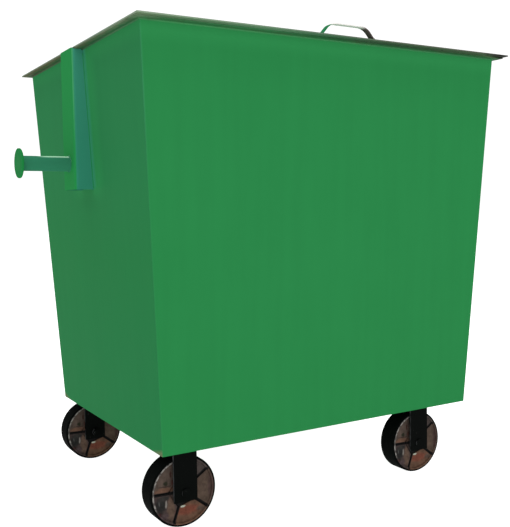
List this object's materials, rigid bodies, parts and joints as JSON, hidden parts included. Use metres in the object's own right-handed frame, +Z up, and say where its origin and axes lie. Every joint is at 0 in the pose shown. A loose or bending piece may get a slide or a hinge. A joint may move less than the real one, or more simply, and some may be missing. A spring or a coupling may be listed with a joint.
{
  "type": "waste container",
  "caption": "Tapered sheet-steel waste container with a rear-hinged flat lid, side lifting trunnions and fixed castors.",
  "frame": {"origin": "on the ground, under the middle of the body", "axes": "+X to the right along the wide front, through the trunnions; +Y to the rear; +Z up"},
  "size_m": [1.369, 0.9018, 1.1843],
  "materials": {
    "green_paint": "satin enamel on sheet steel",
    "dark_green_paint": "thin enamel on sheet steel",
    "black_paint": "satin black enamel",
    "zinc_steel": "dull zinc plate",
    "bronze": "turned bush bronze",
    "rusty_iron": "rusted casting",
    "rubber": "solid black rubber"
  },
  "bodies": {
    "container": {"front_wall": "green_paint", "rear_wall": "green_paint", "left_wall": "green_paint", "right_wall": "green_paint", "floor_panel": "dark_green_paint", "floor_bearer_left": "dark_green_paint", "floor_bearer_right": "dark_green_paint", "trunnion_post_left": "green_paint", "trunnion_post_right": "green_paint", "trunnion_pin_left": "green_paint", "trunnion_pin_right": "green_paint", "trunnion_flange_left": "green_paint", "trunnion_flange_right": "green_paint", "hinge_bracket_left": "green_paint", "hinge_bracket_right": "green_paint", "hinge_pin_left": "zinc_steel", "hinge_pin_right": "zinc_steel", "castor_bracket_front_left": "black_paint", "castor_bracket_front_right": "black_paint", "castor_bracket_rear_left": "black_paint", "castor_bracket_rear_right": "black_paint", "castor_bolts_front_left": "zinc_steel", "castor_bolts_front_right": "zinc_steel", "castor_bolts_rear_left": "zinc_steel", "castor_bolts_rear_right": "zinc_steel", "axle_bolt_front_left": "black_paint", "axle_bolt_front_right": "black_paint", "axle_bolt_rear_left": "black_paint", "axle_bolt_rear_right": "black_paint", "axle_nut_front_left": "zinc_steel", "axle_nut_front_right": "zinc_steel", "axle_nut_rear_left": "zinc_steel", "axle_nut_rear_right": "zinc_steel", "axle_sleeve_front_left": "zinc_steel", "axle_sleeve_front_right": "zinc_steel", "axle_sleeve_rear_left": "zinc_steel", "axle_sleeve_rear_right": "zinc_steel"},
    "lid": {"lid_panel": "green_paint", "lid_handle": "green_paint", "lid_stiffener_left": "dark_green_paint", "lid_stiffener_right": "dark_green_paint", "hinge_strap_left": "green_paint", "hinge_strap_right": "green_paint", "hinge_bolts_left": "zinc_steel", "hinge_bolts_right": "zinc_steel"},
    "wheel_front_left": {"wheel_hub_front_left": "rusty_iron", "wheel_tyre_front_left": "rubber", "wheel_bush_front_left": "bronze"},
    "wheel_front_right": {"wheel_hub_front_right": "rusty_iron", "wheel_tyre_front_right": "rubber", "wheel_bush_front_right": "bronze"},
    "wheel_rear_left": {"wheel_hub_rear_left": "rusty_iron", "wheel_tyre_rear_left": "rubber", "wheel_bush_rear_left": "bronze"},
    "wheel_rear_right": {"wheel_hub_rear_right": "rusty_iron", "wheel_tyre_rear_right": "rubber", "wheel_bush_rear_right": "bronze"}
  },
  "joints": [
    {"name": "lid_hinge", "type": "hinge", "parent": "container", "child": "lid", "pos_m": [0, 0.44275, 1.15124], "axis": [-1, 0, 0], "range_deg": [0, 250]},
    {"name": "wheel_spin_front_left", "type": "hinge", "parent": "container", "child": "wheel_front_left", "pos_m": [-0.412, -0.311, 0.085], "axis": [0, 1, 0], "continuous": true},
    {"name": "wheel_spin_front_right", "type": "hinge", "parent": "container", "child": "wheel_front_right", "pos_m": [0.312, -0.311, 0.085], "axis": [0, 1, 0], "continuous": true},
    {"name": "wheel_spin_rear_left", "type": "hinge", "parent": "container", "child": "wheel_rear_left", "pos_m": [-0.412, 0.311, 0.085], "axis": [0, 1, 0], "continuous": true},
    {"name": "wheel_spin_rear_right", "type": "hinge", "parent": "container", "child": "wheel_rear_right", "pos_m": [0.312, 0.311, 0.085], "axis": [0, 1, 0], "continuous": true}
  ]
}
